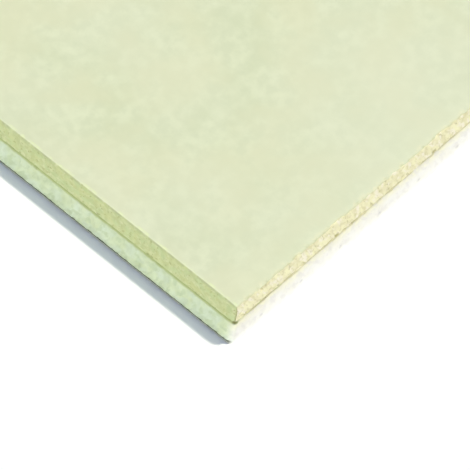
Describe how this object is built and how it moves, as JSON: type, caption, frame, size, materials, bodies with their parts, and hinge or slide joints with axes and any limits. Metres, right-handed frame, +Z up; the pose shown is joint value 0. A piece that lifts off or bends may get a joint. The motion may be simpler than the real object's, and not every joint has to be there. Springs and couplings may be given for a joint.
{
  "type": "foam-backed drywall sheet",
  "caption": "Flat rectangular drywall sheet: paper-faced gypsum board with square long edges and bare cut ends, bonded to a white expanded foam backing, for lining a wall.",
  "frame": {"origin": "middle of the underside of the foam, on the floor that the sheet lies on", "axes": "+X across the sheet's width, +Y along its length, +Z up through the layers to the paper face"},
  "size_m": [1.2, 2.4, 0.022],
  "materials": {
    "gypsum": "bare set gypsum, sawn and crumbly, matte",
    "face_liner": "pale yellow-green liner paper, matte, faintly mottled",
    "back_liner": "grey-brown liner paper, matte",
    "foam": "white expanded polystyrene beads, hot-wire cut"
  },
  "bodies": {
    "root": {"gypsum_core": "gypsum", "face_paper": "face_liner", "back_paper": "back_liner", "foam_board": "foam"}
  },
  "joints": []
}
